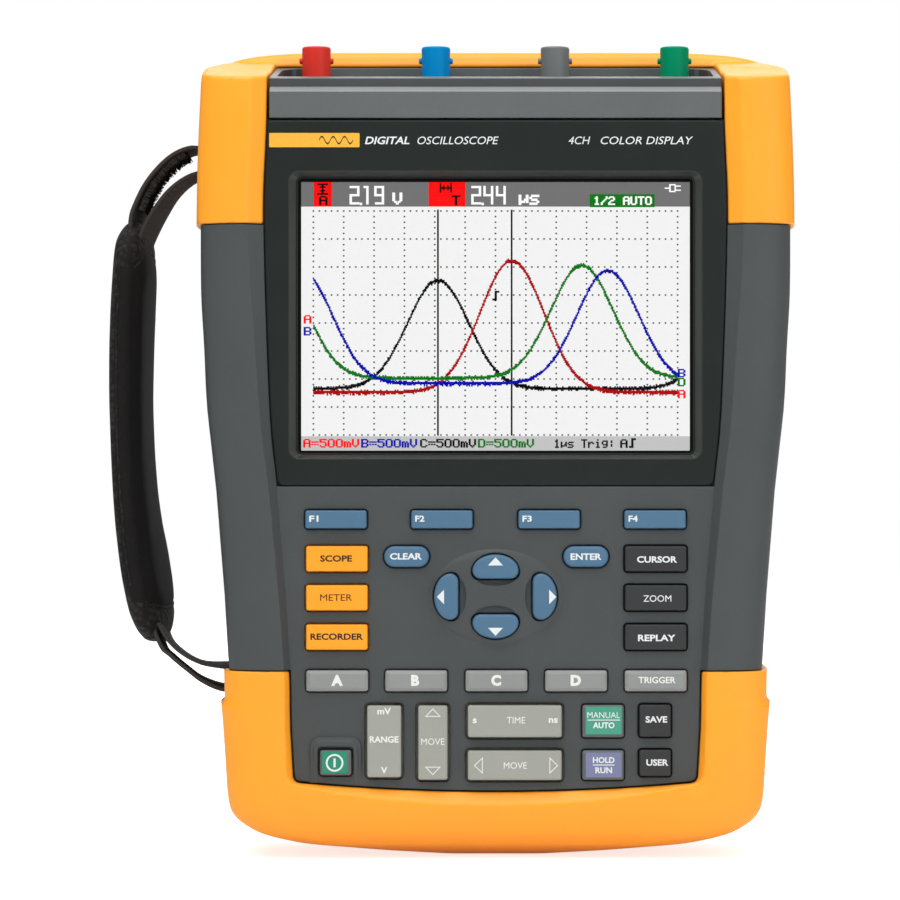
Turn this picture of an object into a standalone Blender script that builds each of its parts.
"""Hand-held four-channel digital oscilloscope in a soft holster, as separate parts.

Lengths below are in millimetres and become metres when a mesh is made. X is the user's right, Z is up and the
front faces -Y. The origin is the middle of the flat foot under the bottom bumper.
"""

import math

import bmesh
import bpy
from mathutils import Matrix, Vector

MM = 0.001
GAP = 0.3

# Depth levels, front to back.
RIDGE_Y = -35.0
PANEL_Y = -31.5
POCKET_Y = -29.0
UNDER_FRONT_Y = -28.5
CAVITY_FRONT_Y = -26.5
SEAM_Y = -16.0
CAVITY_BACK_Y = 27.5
UNDER_BACK_Y = 31.5
BACK_Y = 35.0

# Heights.
FOOT_HALF = 20.0
LOWER_EDGE_Z = 61.3
UPPER_EDGE_Z = 205.4
CASE_TOP_Z = 239.5
BEZEL_Z = (121.0, 239.1)
ROOF_FRONT_Z = 252.8
ROOF_BACK_Z = 261.6

# Half-widths at a few heights: (z, half-width).
FLANK = ((60, 87.9), (85, 89.4), (119, 92.1), (146, 95.1), (166, 96.1), (184, 97.1), (207, 97.2))
PANEL = (
    (20, 64.6), (42, 65.9), (62, 66.3), (89, 68.0), (121, 70.6), (146, 73.0), (205, 74.9), (239, 73.8),
    (280, 73.4),
)
FLANK_LEVELS = (75.0, 85.0, 102.0, 119.0, 133.0, 146.0, 156.0, 166.0, 184.0)
CHAMFER = ((20, 2.6), (61, 2.0), (148, 3.3), (205, 5.2), (280, 5.3))
BUMPER = (
    (0.0, FOOT_HALF, 25.0), (1.6, 39.2, 16.0), (2.9, 54.5, 10.0), (4.3, 66.2, 6.6), (6.1, 78.0, 4.4),
    (8.8, 82.1, 2.6), (12.8, 85.1, 1.2), (18.7, 87.1, 0.3), (31.8, 88.5, 0.0), (43.6, 89.7, 0.0),
    (50.2, 90.3, 0.0), (51.0, 89.4, 0.0), (LOWER_EDGE_Z - 0.15, 89.6, 0.0),
)
CROWN = (
    (UPPER_EDGE_Z + 0.15, 98.6, 0.0), (220.0, 98.4, 0.0), (233.0, 98.0, 0.0), (246.0, 97.4, 0.0),
    (253.0, 97.0, 0.3), (256.4, 96.2, 1.2), (258.8, 94.6, 2.8), (260.4, 91.6, 4.6), (262.0, 86.0, 7.0),
)
RIDGE_LAP = 0.4
DRAFT = 1.6
WIDEST_Y = -4.0
SOFT_FRONT = 9.0
SOFT_BACK = 12.0
BACK_HOLE = (0.0, 128.6, 124.0, 221.2, 6.3)
UNDER_HALF = 86.1
CROWN_HALF = (94.9, 94.0)

# Panel and bumper arcs at the bottom of the front.
PANEL_FOOT_Z = 22.4
PANEL_FOOT_R = 680.0
RIDGE_FOOT_Z = 17.3
RIDGE_FOOT_R = 280.0

# Display.
BEVEL_OUT = (66.7, 129.6, 222.6)
BEVEL_IN = (63.9, 131.5, 220.4)
WINDOW = (65.7, 130.3, 222.2)

# Input connectors.
BNC_X = (-59.2, -19.7, 19.7, 59.2)
BNC_NAMES = ("a", "b", "c", "d")
BNC_RADIUS = 4.75
BNC_TOP_Z = 265.7
BNC_LUG_Z = 261.1
TROUGH_FLOOR_Z = 243.2
TROUGH_BACK_Y = 12.3

# Keys.
KEY_FRONT_Y = -33.4
FLANGE_Y = (-28.7, -27.7)
FLANGE_OUT = 0.8
KEY_GAP = 0.4
ROCKER_GAP = 0.9
ROCKER_FRONT_Y = -34.2
ROCKER_PIVOT_Y = -28.2
ROCKER_FLANGE_Y = (-27.9, -27.0)
ARROW_FRONT_Y = -34.6
PAD_CENTRE = (0.0, 85.2)
MOUND_HALF = (21.3, 15.3)
MOUND_Y = -33.0

ARROW_TURN = {"arrow_up": 0.0, "arrow_left": 90.0, "arrow_down": 180.0, "arrow_right": 270.0}

# Boards.
KEYBOARD_Y = (-25.9, -24.5)
MAIN_BOARD_Y = (-4.6, -3.0)
POST_X = 67.0
POST_Z = (30.0, 120.0, 231.0)
POST_R = 3.6

# Battery bay, door and locks.
DOOR_HALF = 46.0
DOOR_Z = (29.0, 99.0)
DOOR_Y = 31.8
BAY_HALF = 43.0
BAY_Z = (42.0, 96.0)
BAY_Y = 5.0
WALL = 2.4
LOCK_X = 34.0
LOCK_Z = 35.2
LOCK_R = 4.5
LOCK_FLOOR_Y = 33.7
CAM_REACH = 8.0
CAM_Y = (29.0, 30.6)

# Tilt stand.
STAND_HALF = 39.5
STAND_Z = (107.0, 182.0)
STAND_Y = (30.6, 34.6)
STAND_AXIS = (32.6, 182.0)

# Port cover on the right side.
COVER_Y = (-3.0, 21.0)
COVER_Z = (152.5, 186.0)
COVER_T = 2.4
BARREL_R = 1.3

# Sockets behind the port cover.
PORT_Y = (1.0, 17.0)
PORT_Z = (159.0, 181.0)
PORT_FACE_X = 92.8

# Hand strap.
STRAP_HALF = 13.5
WEB_T = 1.3
UPPER_BAR = (-90.5, 227.0, 1.6)
LOWER_BAR = (-81.5, 57.6, 2.6)
PAD_HALF = 22.5
PAD_T = 10.5

FINISH = {
    "holster": ((0.90, 0.42, 0.06), 0.55, 0.0),
    "case": ((0.085, 0.095, 0.10), 0.50, 0.0),
    "bezel": ((0.030, 0.036, 0.034), 0.40, 0.0),
    "fascia": ((0.13, 0.14, 0.145), 0.50, 0.0),
    "glass": ((0.80, 0.82, 0.82), 0.05, 0.0),
    "screen": ((0.70, 0.72, 0.72), 0.25, 0.0),
    "key_blue": ((0.10, 0.21, 0.33), 0.45, 0.0),
    "key_orange": ((0.90, 0.38, 0.035), 0.45, 0.0),
    "key_grey": ((0.30, 0.31, 0.30), 0.45, 0.0),
    "key_light": ((0.38, 0.39, 0.35), 0.45, 0.0),
    "key_dark": ((0.055, 0.058, 0.06), 0.45, 0.0),
    "red": ((0.67, 0.03, 0.03), 0.40, 0.0),
    "blue": ((0.005, 0.23, 0.60), 0.40, 0.0),
    "grey": ((0.15, 0.155, 0.16), 0.40, 0.0),
    "green": ((0.005, 0.26, 0.11), 0.40, 0.0),
    "metal": ((0.72, 0.70, 0.66), 0.28, 1.0),
    "board": ((0.02, 0.14, 0.06), 0.50, 0.0),
    "battery": ((0.06, 0.07, 0.09), 0.45, 0.0),
    "rubber": ((0.04, 0.04, 0.042), 0.70, 0.0),
    "webbing": ((0.035, 0.03, 0.028), 0.85, 0.0),
    "padding": ((0.022, 0.02, 0.021), 0.90, 0.0),
}


def finish_for(label):
    """One shared material for each kind of surface."""
    material = bpy.data.materials.get(label)
    if material:
        return material
    colour, roughness, metallic = FINISH[label]
    material = bpy.data.materials.new(label)
    material.use_nodes = True
    shader = material.node_tree.nodes["Principled BSDF"]
    shader.inputs["Base Color"].default_value = (*colour, 1.0)
    shader.inputs["Roughness"].default_value = roughness
    shader.inputs["Metallic"].default_value = metallic
    return material


def along(stations, z):
    """A station value at height z, by straight lines between the stations."""
    for (z0, v0), (z1, v1) in zip(stations, stations[1:]):
        if z <= z1:
            return v0 + (v1 - v0) * max(z - z0, 0.0) / (z1 - z0)
    return stations[-1][1]


def body(name, rings, hoop=False):
    """One closed body through rings of equal length: capped at both ends, or joined round as a hoop."""
    bm = bmesh.new()
    rows = [[bm.verts.new(Vector(p) * MM) for p in ring] for ring in rings]
    count = len(rings[0])
    pairs = list(zip(rows, rows[1:]))
    if hoop:
        pairs.append((rows[-1], rows[0]))
    else:
        bm.faces.new(rows[0])
        bm.faces.new(rows[-1])
    for low, high in pairs:
        for i in range(count):
            j = (i + 1) % count
            bm.faces.new((low[i], low[j], high[j], high[i]))
    bmesh.ops.recalc_face_normals(bm, faces=bm.faces)
    mesh = bpy.data.meshes.new(name)
    bm.to_mesh(mesh)
    bm.free()
    obj = bpy.data.objects.new(name, mesh)
    bpy.context.scene.collection.objects.link(obj)
    return obj


def combine(target, tools, operation):
    """Cuts from, adds to or keeps the overlap of target with each tool in turn, and removes the tools."""
    for tool in tools:
        modifier = target.modifiers.new("shape", "BOOLEAN")
        modifier.operation = operation
        modifier.solver = "EXACT"
        modifier.object = tool
        bpy.context.view_layer.update()
        graph = bpy.context.evaluated_depsgraph_get()
        mesh = bpy.data.meshes.new_from_object(target.evaluated_get(graph))
        target.modifiers.clear()
        spare = target.data
        target.data = mesh
        bpy.data.meshes.remove(spare)
        bpy.data.objects.remove(tool)
    return target


def cut(target, *tools):
    return combine(target, tools, "DIFFERENCE")


def add(target, *tools):
    return combine(target, tools, "UNION")


def dress(obj, label, origin=None, smooth_angle=35.0):
    """Gives a finished node its material and shading and, if it moves, its origin on the joint axis."""
    bm = bmesh.new()
    bm.from_mesh(obj.data)
    bmesh.ops.remove_doubles(bm, verts=bm.verts, dist=2e-6)
    bmesh.ops.dissolve_limit(bm, angle_limit=0.0006, verts=bm.verts, edges=bm.edges)
    bmesh.ops.recalc_face_normals(bm, faces=bm.faces)
    bm.to_mesh(obj.data)
    bm.free()
    obj.data.materials.clear()
    obj.data.materials.append(finish_for(label))
    for polygon in obj.data.polygons:
        polygon.use_smooth = True
    obj.data.set_sharp_from_angle(angle=math.radians(smooth_angle))
    if origin:
        place = Vector(origin) * MM
        obj.data.transform(Matrix.Translation(-place))
        obj.location = place
    return obj


def block(name, x, y, z):
    """A plain box between pairs of limits."""
    plan = ((x[0], y[0]), (x[1], y[0]), (x[1], y[1]), (x[0], y[1]))
    return body(name, [[(a, b, h) for a, b in plan] for h in z])


def rounded(cx, cz, width, height, radius, steps=2):
    """Outline of a rounded rectangle in XZ."""
    points = []
    for sx, sz, start in ((1, 1, 0), (-1, 1, 90), (-1, -1, 180), (1, -1, 270)):
        for i in range(steps + 1):
            a = math.radians(start + 90.0 * i / steps)
            px = cx + sx * (width / 2 - radius) + radius * math.cos(a)
            pz = cz + sz * (height / 2 - radius) + radius * math.sin(a)
            points.append((px, pz))
    return points


def ellipse(cx, cz, rx, rz, count=24):
    return [
        (cx + rx * math.cos(math.tau * i / count), cz + rz * math.sin(math.tau * i / count))
        for i in range(count)
    ]


def slab(name, outline, y0, y1):
    """An XZ outline drawn out along Y."""
    return body(name, [[(x, y, z) for x, z in outline] for y in (y0, y1)])


def rod(name, centre, radius, y0, y1, count=12):
    return slab(name, ellipse(*centre, radius, radius, count), y0, y1)


def turned(name, x, y, profile, count=16):
    """A (radius, z) profile turned about a vertical axis; it starts and ends at the axis."""
    rings = [
        [
            (x + r * math.cos(math.tau * i / count), y + r * math.sin(math.tau * i / count), z)
            for i in range(count)
        ]
        for r, z in profile
    ]
    return body(name, rings)


def quarter(x0, y0, x1, y1, steps=5, power=2.4):
    """A full quarter bend in plan, leaving (x0, y0) along X and reaching (x1, y1) along Y."""
    points = []
    for i in range(steps + 1):
        a = math.pi / 2 * i / steps
        bend_x = math.sin(a) ** (2 / power)
        bend_y = max(math.cos(a), 0.0) ** (2 / power)
        points.append((x0 + (x1 - x0) * bend_x, y1 + (y0 - y1) * bend_y))
    return points


def plan_ring(z, half, front, back, run, drop, back_run=SOFT_BACK, back_drop=SOFT_BACK):
    """The section at height z: soft edges at the front and back, and sides that taper forward."""
    turn_y = front + drop
    widest_y = max(WIDEST_Y, turn_y + 1.0)
    draft = DRAFT * (widest_y - turn_y) / (WIDEST_Y - RIDGE_Y - SOFT_FRONT)
    right = quarter(half - run, front, half - draft, turn_y) + [(half, widest_y)]
    right += quarter(half - back_run, back, half, back - back_drop)[::-1]
    left = [(-x, y) for x, y in reversed(right)]
    return [(x, y, z) for x, y in right + left]


def ridge_half(z):
    return along(PANEL, z) + along(CHAMFER, z)


def case_rings(grow):
    """Sections of the case: flush with the outside where it shows, set in under the holster."""
    rings = []
    for z, half, tuck in ((4.6, 60.0, 4.0), (7.4, 74.5, 2.0), (11.5, 79.5, 0.8), (17.0, 83.4, 0.0)):
        z_out = z - grow
        rings.append(plan_ring(
            z_out, half + grow, UNDER_FRONT_Y + tuck - grow, UNDER_BACK_Y - tuck + grow, 14.0, 8.0))
    under_top = 210.0 if grow else LOWER_EDGE_Z + 0.2
    for z in (43.0, under_top):
        rings.append(plan_ring(z, UNDER_HALF + grow, UNDER_FRONT_Y - grow, UNDER_BACK_Y + grow, 14.0, 8.0))
    if grow:
        return rings
    for z in (LOWER_EDGE_Z + 0.2, *FLANK_LEVELS, UPPER_EDGE_Z - 0.2):
        half = along(FLANK, z)
        rings.append(plan_ring(z, half, RIDGE_Y, BACK_Y + 1.0, half - ridge_half(z) + RIDGE_LAP, SOFT_FRONT))
    return rings


def crown_core_rings(grow):
    """The part of the case that stands up inside the top holster."""
    return [
        plan_ring(z, half + grow, UNDER_FRONT_Y - grow, UNDER_BACK_Y + grow, 14.0, 8.0)
        for z, half in zip((UPPER_EDGE_Z - 6.0, CASE_TOP_Z + grow), CROWN_HALF)
    ]


def panel_edge(outward, low_z_shift=0.0):
    """The front panel's outline, right side from the bottom up, moved outward from the foot of the bevel by a
    share of the bevel's width: 0 at its foot and 1 on the ridge."""
    def arc(x, foot, radius):
        return foot + x * x / (2 * radius)

    side = []
    for inner_x, outer_x in ((0.0, 0.0), (22.0, 23.0), (44.0, 46.0), (58.0, 60.0), (63.4, 65.6)):
        inner = (inner_x, arc(inner_x, PANEL_FOOT_Z, PANEL_FOOT_R) + low_z_shift)
        outer = (outer_x, arc(outer_x, RIDGE_FOOT_Z, RIDGE_FOOT_R) + low_z_shift)
        side.append((inner, outer))
    side.append(((65.0, 26.9 + low_z_shift), (67.6, 28.4 + low_z_shift)))
    for z in (42.0, 62.0, 89.0, 121.0, 146.0, 175.0, 205.0, 239.0, 275.0):
        side.append(((along(PANEL, z), z), (ridge_half(z), z)))
    return [(i[0] + (o[0] - i[0]) * outward, i[1] + (o[1] - i[1]) * outward) for i, o in side]


def both_sides(right, shift=0.0):
    """A closed outline from its right side, which starts on the middle line; shift moves its sides."""
    right = [(x + (shift if x else 0.0), z) for x, z in right]
    return right + [(-x, z) for x, z in reversed(right) if x]


def recess_tool():
    """Cuts the front down to the panel, with sloping sides up to the ridge."""
    floor = both_sides(panel_edge(0.0))
    mouth = both_sides(panel_edge(2.0))
    return body("recess", [
        [(x, PANEL_Y, z) for x, z in floor],
        [(x, 2 * RIDGE_Y - PANEL_Y, z) for x, z in mouth],
    ])


def panel_tool(shift, y0, y1, top):
    """A slab with the panel's outline, its sides moved by shift, up to a given height."""
    right = [(x + (shift if x else 0.0), min(z, top)) for x, z in panel_edge(0.0, -shift)]
    kept = [p for i, p in enumerate(right) if p[1] < top or right[i - 1][1] < top]
    return slab("panel", both_sides(kept), y0, y1)


def key_outline(kind, cx, cz, width, height, grow):
    """Outline of one key, grown outward by a margin."""
    w = width + 2 * grow
    h = height + 2 * grow
    if kind == "stadium":
        return rounded(cx, cz, w, h, h / 2 - 0.05, 3)
    if kind in ARROW_TURN:
        return arrow_outline(cx, cz, w, h, ARROW_TURN[kind])
    return rounded(cx, cz, w, h, 0.8 + grow)


def arrow_outline(cx, cz, width, height, turn):
    """A half-moon cap: flat towards the middle of the pad, arched outside, and turned to its place."""
    round_off = 2.6
    arch = height - round_off
    points = []
    for side, start in ((-1, 180), (1, 270)):
        for i in range(3):
            a = math.radians(start + 45.0 * i)
            points.append((side * (width / 2 - round_off) + round_off * math.cos(a),
                           round_off - height / 2 + round_off * math.sin(a)))
    for i in range(1, 8):
        a = math.pi * i / 8
        points.append((width / 2 * math.cos(a), round_off - height / 2 + arch * math.sin(a)))
    c = math.cos(math.radians(turn))
    s = math.sin(math.radians(turn))
    return [(cx + x * c - z * s, cz + x * s + z * c) for x, z in points]


def key_layout():
    """Every key as (name, kind, x, z, width, height, finish)."""
    keys = []
    for n, x in enumerate((-51.5, -17.3, 17.3, 51.5), 1):
        keys.append((f"key_f{n}", "soft", x, 110.1, 19.8, 5.8, "key_blue"))
    for side, finish, names in (
        (-51.2, "key_orange", ("scope", "meter", "recorder")),
        (51.7, "key_dark", ("cursor", "zoom", "replay")),
    ):
        for z, name in zip((97.4, 84.8, 72.1), names):
            keys.append((f"key_{name}", "plain", side, z, 19.9, 8.2, finish))
    for name, x in (("clear", -28.7), ("enter", 29.2)):
        keys.append((f"key_{name}", "stadium", x, 98.1, 14.5, 6.7, "key_blue"))
    px, pz = PAD_CENTRE
    for name, dx, dz in (("up", 0, 9.7), ("down", 0, -9.6), ("left", -15.9, 0), ("right", 15.9, 0)):
        keys.append((f"key_arrow_{name}", f"arrow_{name}", px + dx, pz + dz, 14.9, 7.8, "key_blue"))
    for name, x in zip(("a", "b", "c", "d", "trigger"), (-51.1, -25.6, 0.3, 26.0, 51.7)):
        keys.append((f"key_{name}", "plain", x, 58.0, 19.9, 6.7, "key_grey"))
    keys.append(("rocker_range", "rock_z", -35.9, 38.5, 11.0, 23.1, "key_light"))
    keys.append(("rocker_move_vertical", "rock_z", -20.2, 38.1, 9.5, 23.9, "key_light"))
    keys.append(("rocker_time", "rock_x", 6.2, 45.0, 30.3, 10.3, "key_light"))
    keys.append(("rocker_move_horizontal", "rock_x", 6.2, 30.8, 30.3, 9.5, "key_light"))
    keys.append(("key_auto", "plain", 34.7, 45.0, 13.3, 10.4, "key_grey"))
    keys.append(("key_hold", "plain", 34.7, 30.8, 13.3, 9.5, "key_grey"))
    keys.append(("key_save", "plain", 51.5, 45.1, 10.2, 10.4, "key_dark"))
    keys.append(("key_user", "plain", 51.5, 31.5, 10.2, 8.5, "key_dark"))
    keys.append(("key_power", "plain", -51.6, 31.6, 10.1, 8.2, "key_grey"))
    return keys


def build_key(name, kind, x, z, width, height, finish):
    """A key cap with a flange behind the panel that keeps it in its hole."""
    rocks = kind.startswith("rock")
    front = ROCKER_FRONT_Y if rocks else ARROW_FRONT_Y if kind in ARROW_TURN else KEY_FRONT_Y
    collar, back = ROCKER_FLANGE_Y if rocks else FLANGE_Y
    margin = FLANGE_OUT + (ROCKER_GAP - KEY_GAP if rocks else 0.0)
    steps = ((back, margin), (collar, margin), (collar, 0.0), (front + 0.6, 0.0), (front, -0.7))
    rings = [
        [(px, y, pz) for px, pz in key_outline(kind, x, z, width, height, grow)]
        for y, grow in steps
    ]
    origin = (x, ROCKER_PIVOT_Y if rocks else PANEL_Y, z)
    dress(body(name, rings), finish, origin)


def key_holes():
    """One cutter for every key hole in the panel."""
    tools = []
    for name, kind, x, z, width, height, _ in key_layout():
        grow = ROCKER_GAP if kind.startswith("rock") else KEY_GAP
        tools.append(slab("hole", key_outline(kind, x, z, width, height, grow), -38.0, CAVITY_FRONT_Y))
    return tools


def gather(tools):
    """Joins cutters that don't touch into one object."""
    bm = bmesh.new()
    for tool in tools:
        bm.from_mesh(tool.data)
        bpy.data.objects.remove(tool)
    mesh = bpy.data.meshes.new("tools")
    bm.to_mesh(mesh)
    bm.free()
    obj = bpy.data.objects.new("tools", mesh)
    bpy.context.scene.collection.objects.link(obj)
    return obj


def cavity():
    """The room inside the case."""
    rings = []
    for z, half in (
        (10.5, 70.0), (15.0, 77.5), (22.0, 80.8), (61.0, 82.0), (85.0, 83.6), (119.0, 86.2),
        (146.0, 89.0), (184.0, 91.0), (236.8, 91.0),
    ):
        x = half - 8.0
        right = [(x, CAVITY_FRONT_Y), (half, CAVITY_FRONT_Y + 8.0), (half, CAVITY_BACK_Y - 8.0)]
        right.append((x, CAVITY_BACK_Y))
        ring = right + [(-a, b) for a, b in reversed(right)]
        rings.append([(a, b, z) for a, b in ring])
    return body("cavity", rings)


def case_solid():
    """The whole case before it is hollowed and split at its seam."""
    solid = body("case", case_rings(0.0))
    crown = body("crown_core", crown_core_rings(0.0))
    front_panel = panel_tool(-0.2, -33.5, -24.0, CASE_TOP_Z - 0.3)
    back_panel = slab("back_panel", rounded(0.0, 128.6, 123.4, 220.6, 6.0), 24.0, BACK_Y + 1.0)
    add(solid, crown, front_panel, back_panel)
    trim = block("trim", (-120, 120), (BACK_Y, 60), (-20, 300))
    cut(solid, recess_tool(), trim)
    mound_steps = ((PANEL_Y + 1.0, 0.0), (PANEL_Y - 0.4, 0.0), (MOUND_Y, 2.2))
    mound = body("mound", [
        [(x, y, z) for x, z in ellipse(*PAD_CENTRE, MOUND_HALF[0] - inset, MOUND_HALF[1] - inset, 28)]
        for y, inset in mound_steps
    ])
    add(solid, mound, power_guard())
    bezel_z = (BEZEL_Z[0] - GAP, 270.0)
    right = [(along(PANEL, z) + 0.1, z) for z in (bezel_z[0], 146.0, 175.0, 205.0, 239.0, bezel_z[1])]
    pocket = slab("pocket", right + [(-x, z) for x, z in reversed(right)], -40.0, POCKET_Y)
    return cut(solid, pocket)


def power_guard():
    """The raised arch round the power key."""
    x, z, half, top = -51.6, 31.6, 8.2, 39.7
    foot = 24.9
    outer = [(x - half, foot), (x - half + 1.4, top - 1.6), (x - half + 3.2, top)]
    outer += [(2 * x - px, pz) for px, pz in reversed(outer)]
    inner = [(x - half + 2.6, foot), (x - half + 2.6, top - 3.4), (x - half + 3.4, top - 2.6)]
    inner += [(2 * x - px, pz) for px, pz in reversed(inner)]
    arch = outer + inner[::-1]
    return slab("guard", arch, PANEL_Y + 1.0, PANEL_Y - 1.5)


def build_front_case(solid):
    """The front half of the case: flanks, key panel and display frame."""
    keep = block("keep", (-130, 130), (-60, SEAM_Y - GAP / 2), (-30, 300))
    combine(solid, [keep], "INTERSECT")
    solid.name = "front_case"
    key_room = block("key_room", (-62.8, 62.8), (POCKET_Y, -20.0), (24.6, 118.2))
    light = WINDOW[0] + GAP
    sight = block("sight", (-light, light), (-40, -20), (WINDOW[1] - GAP, WINDOW[2] + GAP))
    cut(solid, cavity(), key_room, sight, gather(key_holes()))
    posts = [
        rod("post", (side * POST_X, z), POST_R, CAVITY_FRONT_Y - 1.0, MAIN_BOARD_Y[0] - GAP, 10)
        for side in (-1, 1) for z in POST_Z
    ]
    add(solid, *posts)
    return dress(solid, "case")


def side_x(z):
    return along(FLANK, z)


def cover_outline():
    """The port cover from the front: flush with the side, with a round hinge barrel at its foot."""
    z0, z1 = COVER_Z
    barrel = (side_x(z0) - BARREL_R, z0)
    points = [(side_x(z1), z1), (side_x(z1) - COVER_T, z1), (barrel[0] - BARREL_R, z0 + 1.0)]
    for i in range(7):
        a = math.pi + math.pi * i / 6
        points.append((barrel[0] + BARREL_R * math.cos(a), z0 + BARREL_R * math.sin(a)))
    points.append((side_x(z0 + 1.5), z0 + 1.5))
    points.append((side_x(166.0), 166.0))
    return points


def build_rear_case(solid):
    """The rear half: battery bay, stand recess, port recess, strap slots and connector holes."""
    keep = block("keep", (-130, 130), (SEAM_Y + GAP / 2, 60), (-30, 300))
    combine(solid, [keep], "INTERSECT")
    solid.name = "rear_case"
    cut(solid, cavity())
    tray_x = BAY_HALF + WALL
    tray = block("tray", (-tray_x, tray_x), (BAY_Y - WALL, 29.0), (BAY_Z[0] - WALL, BAY_Z[1] + WALL))
    anchors = [
        block("anchor", (-92.6, UPPER_BAR[0] + 6.6), (-15.0, 17.0), (UPPER_BAR[1] - 9.0, UPPER_BAR[1] + 8.0)),
        block("anchor", (-83.5, LOWER_BAR[0] + 7.4), (-15.0, 17.0), (LOWER_BAR[1] - 9.4, LOWER_BAR[1] + 9.4)),
    ]
    posts = [
        rod("post", (side * POST_X, z), POST_R, MAIN_BOARD_Y[1] + GAP, CAVITY_BACK_Y + 1.0, 10)
        for side in (-1, 1) for z in POST_Z
    ]
    add(solid, tray, *anchors, *posts)
    bay = block("bay", (-BAY_HALF, BAY_HALF), (BAY_Y, 40), BAY_Z)
    ledge = slab("ledge", door_outline(GAP), DOOR_Y - GAP, 40)
    cut(solid, bay, ledge)
    for side in (-1, 1):
        x = side * LOCK_X
        swing = rod("swing", (x, LOCK_Z), CAM_REACH + 0.5, CAM_Y[0] - GAP, CAM_Y[1] + GAP, 20)
        way_out = block("way_out", (x - 8.9, x + 8.9), (CAM_Y[1] - 0.2, DOOR_Y), (LOCK_Z - 5.6, LOCK_Z + 5.8))
        cut(solid, swing, way_out)
    axis_y, axis_z = STAND_AXIS
    middle = (STAND_Z[0] + STAND_Z[1]) / 2
    recess = slab("stand_recess", rounded(0, middle, 2 * STAND_HALF + 2.4, 81.4, 3.0), STAND_Y[0] - GAP, 40)
    pins = turned_x("pins", (axis_y, axis_z), [(1.9, -43.4), (1.9, 43.4)])
    cut(solid, recess, pins)
    cut(solid, *connector_holes(6.0))
    cut(solid, upper_slot(), lower_slot())
    z0, z1 = COVER_Z
    port = [(side_x(z) - COVER_T - GAP, z) for z in (z0 - BARREL_R - GAP, 166.0, z1 + GAP)]
    port += [(110.0, z1 + GAP), (110.0, z0 - BARREL_R - GAP)]
    cut(solid, slab("port", port, COVER_Y[0] - GAP, COVER_Y[1] + GAP))
    cut(solid, block("port_window", (80.0, 110.0), PORT_Y, PORT_Z))
    for x, z, radius in (UPPER_BAR, LOWER_BAR):
        add(solid, rod("bar", (x, z), radius, -15.6, 16.0, 10))
    return dress(solid, "case")


def turned_x(name, centre, profile, count=12):
    """A (radius, x) profile turned about an axis along X through (y, z)."""
    y, z = centre
    rings = [
        [
            (x, y + r * math.cos(math.tau * i / count), z + r * math.sin(math.tau * i / count))
            for i in range(count)
        ]
        for r, x in profile
    ]
    return body(name, rings)


def connector_holes(radius):
    return [turned("hole", x, 0.0, ((radius, 230.0), (radius, 250.0)), 16) for x in BNC_X]


def strap_slot(inner_x, z0, z1):
    """A slot in the left side that the strap runs through, round its bar."""
    half = STRAP_HALF + 2 * GAP
    return block("slot", (-120.0, inner_x), (-half, half), (z0, z1))


def upper_slot():
    return strap_slot(UPPER_BAR[0] + 4.0, UPPER_BAR[1] - 6.2, UPPER_BAR[1] + 6.2)


def lower_slot():
    return strap_slot(LOWER_BAR[0] + 5.0, LOWER_BAR[1] - 6.6, LOWER_BAR[1] + 6.8)


def door_outline(grow):
    """The battery door's outline, grown outward by a margin."""
    height = DOOR_Z[1] - DOOR_Z[0] + 2 * grow
    return rounded(0.0, sum(DOOR_Z) / 2, 2 * DOOR_HALF + 2 * grow, height, 3.0 + grow)


def build_bottom_holster():
    """The soft bumper round the bottom."""
    rings = []
    for z, half, tuck in BUMPER:
        run = half - ridge_half(z) + RIDGE_LAP if z > 28.0 else min(0.45 * half, 20.0)
        soft = 0.7 * (BACK_Y - tuck)
        rings.append(plan_ring(
            z, half, RIDGE_Y + tuck, BACK_Y - tuck, run, min(soft, SOFT_FRONT), min(0.4 * half, SOFT_BACK),
            min(soft, SOFT_BACK)))
    shell = body("bottom_holster", rings)
    back_hole = slab("back_hole", rounded(*BACK_HOLE), 20.0, 50.0)
    cut(shell, recess_tool(), body("core", case_rings(GAP)), panel_tool(0.1, -45.0, -20.0, 100.0), back_hole)
    cut(shell, lower_slot())
    return dress(shell, "holster")


def build_top_holster():
    """The soft cap: two corner blocks joined by a rim behind the connectors."""
    rings = [
        plan_ring(z, half, RIDGE_Y + tuck, BACK_Y - tuck, half - ridge_half(z) + RIDGE_LAP, SOFT_FRONT)
        for z, half, tuck in CROWN
    ]
    shell = body("top_holster", rings)
    slope = (ROOF_BACK_Z - ROOF_FRONT_Z) / (TROUGH_BACK_Y - RIDGE_Y)
    roof = body("roof", [
        [(x, -60.0, ROOF_FRONT_Z - slope * 25.0), (x, 60.0, ROOF_FRONT_Z + slope * 95.0), (x, 60.0, 300.0),
         (x, -60.0, 300.0)]
        for x in (-120.0, 120.0)
    ])
    trough = block("trough", (-73.4, 73.4), (-60.0, 14.6), (200.0, 300.0))
    cut(shell, roof, recess_tool(), trough)
    right = ((69.0, 265.4), (73.0, 264.6), (77.0, 263.5), (81.0, 262.6), (85.0, 261.9))
    rim = []
    for x, top in [(-x, top) for x, top in reversed(right)] + list(right):
        lip = min(260.4, top - 1.8)
        section = (
            (14.6, 244.0), (14.6, lip), (TROUGH_BACK_Y, lip), (TROUGH_BACK_Y, top - 1.0),
            (TROUGH_BACK_Y + 1.0, top), (24.0, top - 0.2), (30.5, top - 2.2), (34.0, top - 8.0),
            (34.0, 244.0),
        )
        rim.append([(x, y, z) for y, z in section])
    add(shell, body("rim", rim))
    back_hole = slab("back_hole", rounded(*BACK_HOLE), 20.0, 50.0)
    cut(shell, body("core", crown_core_rings(GAP)), panel_tool(0.1, -45.0, -20.0, 270.0), back_hole)
    cut(shell, upper_slot())
    return dress(shell, "holster")


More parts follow.
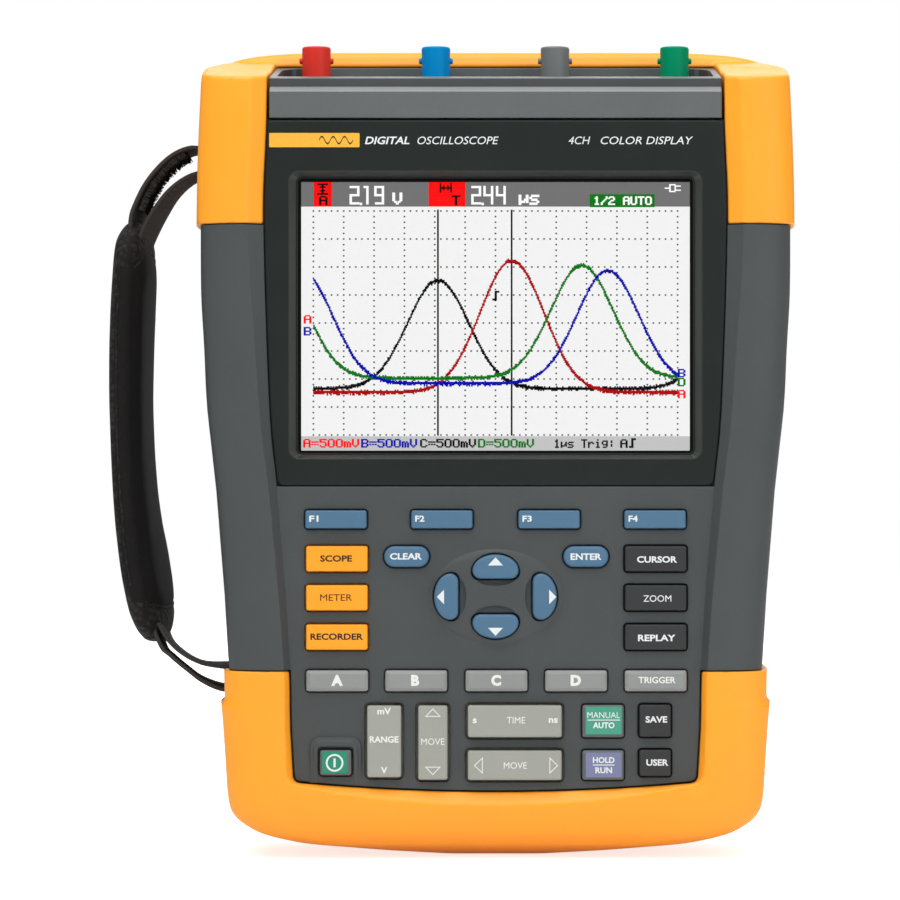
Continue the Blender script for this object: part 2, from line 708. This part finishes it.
def build_display():
    """Bezel frame, window and display module."""
    bottom, top = BEZEL_Z
    heights = (bottom + 2.6, 146.0, 175.0, 205.0, top - 1.0)
    right = [(60.0, bottom), (along(PANEL, bottom) - 2.2, bottom)]
    right += [(along(PANEL, z) - 0.2, z) for z in heights]
    right += [(along(PANEL, top) - 1.2, top), (60.0, top)]
    outer = right + [(-x, z) for x, z in reversed(right)]

    def opening(half, low, high):
        corner = 2.2
        side = [(60.0, low), (half - corner, low), (half, low + corner)]
        side += [(half, low + (high - low) * share) for share in (0.25, 0.5, 0.75)]
        side += [(half, high - corner), (half - corner, high), (60.0, high)]
        return side + [(-x, z) for x, z in reversed(side)]

    front = PANEL_Y
    back = POCKET_Y - GAP
    rings = [
        [(x, front + 0.4, z) for x, z in outer],
        [(x * 0.9945, front, (z - 180.0) * 0.9935 + 180.0) for x, z in outer],
        [(x, front, z) for x, z in opening(*BEVEL_OUT)],
        [(x, back + 0.3, z) for x, z in opening(*BEVEL_IN)],
        [(x, back, z) for x, z in opening(*BEVEL_IN)],
        [(x, back, z) for x, z in outer],
    ]
    dress(body("display_bezel", rings, hoop=True), "bezel")

    half, low, high = WINDOW
    middle = (low + high) / 2
    pane = rounded(0.0, middle, 2 * half, high - low, 1.5)
    dress(slab("display_window", pane, POCKET_Y + 0.1, POCKET_Y + 1.5), "glass")

    step = rounded(0.0, middle, 2 * half, high - low, 1.2)
    rim = rounded(0.0, middle, 2 * half + 6.0, high - low + 6.4, 2.0)
    shoulder = CAVITY_FRONT_Y + GAP
    levels = ((POCKET_Y + 1.8, step), (shoulder, step), (shoulder, rim), (-19.5, rim))
    rings = [[(x, y, z) for x, z in outline] for y, outline in levels]
    dress(body("lcd_module", rings), "screen")


def build_inputs():
    """The grey input panel with its trough, and the four connectors."""
    section = (
        (PANEL_Y, 239.8), (PANEL_Y, 248.3), (-32.2, 248.9), (-32.2, 249.8), (-31.2, 250.4), (-30.0, 253.2),
        (-24.5, 253.2), (-24.5, TROUGH_FLOOR_Z), (TROUGH_BACK_Y, TROUGH_FLOOR_Z), (TROUGH_BACK_Y, 260.1),
        (14.3, 260.1), (14.3, 239.8),
    )
    panel = body("input_panel", [[(x, y, z) for y, z in section] for x in (-73.1, 73.1)])
    cut(panel, *connector_holes(5.3))
    dress(panel, "fascia")
    for x, name, finish in zip(BNC_X, BNC_NAMES, ("red", "blue", "grey", "green")):
        floor = TROUGH_FLOOR_Z + GAP
        shell = turned(f"bnc_{name}", x, 0.0, (
            (5.0, 236.2), (5.0, floor), (7.4, floor), (7.4, floor + 1.8), (BNC_RADIUS, floor + 2.4),
            (BNC_RADIUS, BNC_TOP_Z - 0.5), (BNC_RADIUS - 0.4, BNC_TOP_Z), (4.1, BNC_TOP_Z),
            (3.9, BNC_TOP_Z - 0.4), (3.9, floor + 3.5),
        ))
        add(shell, turned_x("lugs", (0.0, BNC_LUG_Z), ((1.0, x - BNC_RADIUS - 0.9), (1.0, x - 4.3)), 8))
        add(shell, turned_x("lugs", (0.0, BNC_LUG_Z), ((1.0, x + 4.3), (1.0, x + BNC_RADIUS + 0.9)), 8))
        dress(shell, finish)
        base = floor + 3.5 + GAP
        core = turned(f"bnc_core_{name}", x, 0.0, (
            (3.5, base), (3.5, BNC_TOP_Z - 1.2), (2.7, BNC_TOP_Z - 1.2), (2.7, base + 2.0),
            (0.75, base + 2.0),
            (0.75, BNC_TOP_Z - 3.0), (0.45, BNC_TOP_Z - 2.4),
        ), 12)
        dress(core, "metal")


def build_inside():
    """Boards, shield, battery and port block."""
    board = slab("main_board", rounded(0.0, 126.0, 142.0, 218.0, 3.0), *MAIN_BOARD_Y)
    dress(board, "board")
    keyboard = slab("keypad_board", rounded(0.0, 70.5, 125.0, 94.0, 2.0), *KEYBOARD_Y)
    dress(keyboard, "board")
    shield_outline = rounded(0.0, 215.4, 124.0, 40.0, 2.0)
    rings = [
        [(x, y, z) for x, z in shield_outline] for y in (MAIN_BOARD_Y[1] + GAP, 18.0)
    ]
    dress(body("input_shield", rings), "metal")
    pack = rounded(0.0, sum(BAY_Z) / 2, 2 * BAY_HALF - 2 * GAP, BAY_Z[1] - BAY_Z[0] - 2 * GAP, 4.0)
    dress(slab("battery_pack", pack, BAY_Y + GAP, DOOR_Y - GAP), "battery")
    port_z = (PORT_Z[0] - 2.0, PORT_Z[1] + 2.0)
    port = block("port_block", (72.0, 88.6), (MAIN_BOARD_Y[1] + GAP, 18.5), port_z)
    low_y, high_y = PORT_Y
    low_z, high_z = PORT_Z
    add(port, block("nose", (88.0, PORT_FACE_X), (low_y + GAP, high_y - GAP), (low_z + GAP, high_z - GAP)))
    cut(port, block("data_socket", (PORT_FACE_X - 6.0, 120.0), (3.6, 6.7), (166.1, 173.9)))
    cut(port, rod_x("power_socket", (11.8, 170.0), 2.6, PORT_FACE_X - 6.0, 120.0))
    dress(port, "rubber")


def rod_x(name, centre, radius, x0, x1):
    return turned_x(name, centre, ((radius, x0), (radius, x1)))


def build_back():
    """Battery door with its two quarter-turn locks, the tilt stand and the port cover."""
    door = slab("battery_door", door_outline(0.0), DOOR_Y, BACK_Y)
    for side in (-1, 1):
        centre = (side * LOCK_X, LOCK_Z)
        cut(door, rod("head", centre, LOCK_R + GAP, LOCK_FLOOR_Y - GAP, 40.0, 20))
        cut(door, rod("shaft", centre, 2.5, 20.0, 40.0))
    dress(door, "case", (0.0, DOOR_Y, sum(DOOR_Z) / 2))
    for side, name in ((-1, "lock_left"), (1, "lock_right")):
        x = side * LOCK_X
        lock = rod(name, (x, LOCK_Z), LOCK_R, LOCK_FLOOR_Y, BACK_Y - 0.1, 20)
        add(lock, rod("shaft", (x, LOCK_Z), 2.2, CAM_Y[0] + 0.2, LOCK_FLOOR_Y + 0.5))
        ends = sorted((x + side * 1.5, x - side * CAM_REACH))
        add(lock, block("cam", ends, CAM_Y, (LOCK_Z - 2.6, LOCK_Z + 2.6)))
        cut(lock, block("slot", (x - 3.4, x + 3.4), (BACK_Y - 0.9, 40.0), (LOCK_Z - 0.7, LOCK_Z + 0.7)))
        dress(lock, "metal", (x, BACK_Y, LOCK_Z))

    low, high = STAND_Z
    plate = slab("tilt_stand", rounded(0, (low + high) / 2, 2 * STAND_HALF, high - low, 1.6), *STAND_Y)
    for z in (124.0, 132.0, 140.0, 148.0):
        cut(plate, block("groove", (-26.0, 26.0), (STAND_Y[1] - 0.8, 50.0), (z - 1.5, z + 1.5)))
    add(plate, turned_x("barrel", STAND_AXIS, ((2.2, -STAND_HALF + 0.3), (2.2, STAND_HALF - 0.3))))
    add(plate, turned_x("pins", STAND_AXIS, ((1.5, -42.9), (1.5, 42.9)), 10))
    dress(plate, "case", (0.0, *STAND_AXIS))

    cover = slab("port_cover", cover_outline(), *COVER_Y)
    dress(cover, "rubber", (side_x(COVER_Z[0]) - BARREL_R, sum(COVER_Y) / 2, COVER_Z[0]))


def strip(name, path, half_width, thickness):
    """A flat band that follows an XZ path, with its width along Y."""
    rings = []
    for i, (x, z) in enumerate(path):
        before = path[max(i - 1, 0)]
        after = path[min(i + 1, len(path) - 1)]
        way = Vector((after[0] - before[0], after[1] - before[1])).normalized()
        nx, nz = -way.y * thickness / 2, way.x * thickness / 2
        rings.append([
            (x + nx, -half_width, z + nz), (x + nx, half_width, z + nz),
            (x - nx, half_width, z - nz), (x - nx, -half_width, z - nz),
        ])
    return body(name, rings)


def bend(centre, radius, start, end, steps):
    """Points on an arc from one angle to another, in degrees."""
    return [
        (centre[0] + radius * math.cos(math.radians(start + (end - start) * i / steps)),
         centre[1] + radius * math.sin(math.radians(start + (end - start) * i / steps)))
        for i in range(steps + 1)
    ]


PAD_LINE = (
    (-118.5, 207.5), (-118.5, 197.0), (-119.7, 181.0), (-120.0, 162.0), (-120.0, 142.0), (-118.2, 117.0),
    (-116.2, 98.5), (-114.0, 86.0), (-112.7, 78.0), (-110.0, 68.0),
)


def build_strap():
    """Webbing round both bars and through the sleeve of the hand pad."""
    upper_r = UPPER_BAR[2] + GAP + WEB_T / 2
    lower_r = LOWER_BAR[2] + GAP + WEB_T / 2
    path = [(-112.0, 203.0), (-111.0, 208.0), (-108.0, 214.0), (-103.0, 220.6), (-98.0, 223.4)]
    path += bend(UPPER_BAR[:2], upper_r, -90.0, 90.0, 8)
    path += [(-98.0, 230.9), (-103.5, 230.2), (-108.5, 225.6), (-113.5, 218.7), (-116.9, 213.0)]
    path += list(PAD_LINE)
    path += [(-107.0, 64.6), (-102.0, 60.4), (-96.7, 56.6), (-89.6, 54.0)]
    path += bend(LOWER_BAR[:2], lower_r, -90.0, 90.0, 8)
    path += [(-89.0, 61.4), (-96.7, 62.4), (-101.4, 64.6), (-103.4, 66.6)]
    dress(strip("strap_webbing", path, STRAP_HALF, WEB_T), "webbing")

    rings_out = []
    rings_in = []
    last = len(PAD_LINE) - 1
    for i, (x, z) in enumerate(PAD_LINE):
        before = PAD_LINE[max(i - 1, 0)]
        after = PAD_LINE[min(i + 1, last)]
        way = Vector((after[0] - before[0], after[1] - before[1])).normalized()
        thick = (PAD_T if 0 < i < last else PAD_T * 0.66) / 2
        sleeve = WEB_T / 2 + GAP + 0.1
        for rings, across, out, corner in (
            (rings_out, PAD_HALF, thick, 3.0),
            (rings_in, STRAP_HALF + 0.5, sleeve, 0.3),
        ):
            inner = across - corner
            flat = ((inner, out), (across, out - corner), (across, corner - out), (inner, -out))
            loop = flat + tuple((-a, b) for a, b in reversed(flat))
            rings.append([(x - way.y * b, a, z + way.x * b) for a, b in loop])
    dress(body("strap_pad", rings_out + rings_in[::-1], hoop=True), "padding")


def main():
    for obj in list(bpy.data.objects):
        bpy.data.objects.remove(obj, do_unlink=True)
    build_front_case(case_solid())
    build_rear_case(case_solid())
    build_bottom_holster()
    build_top_holster()
    build_display()
    build_inputs()
    build_inside()
    build_back()
    build_strap()
    for key in key_layout():
        build_key(*key)


main()
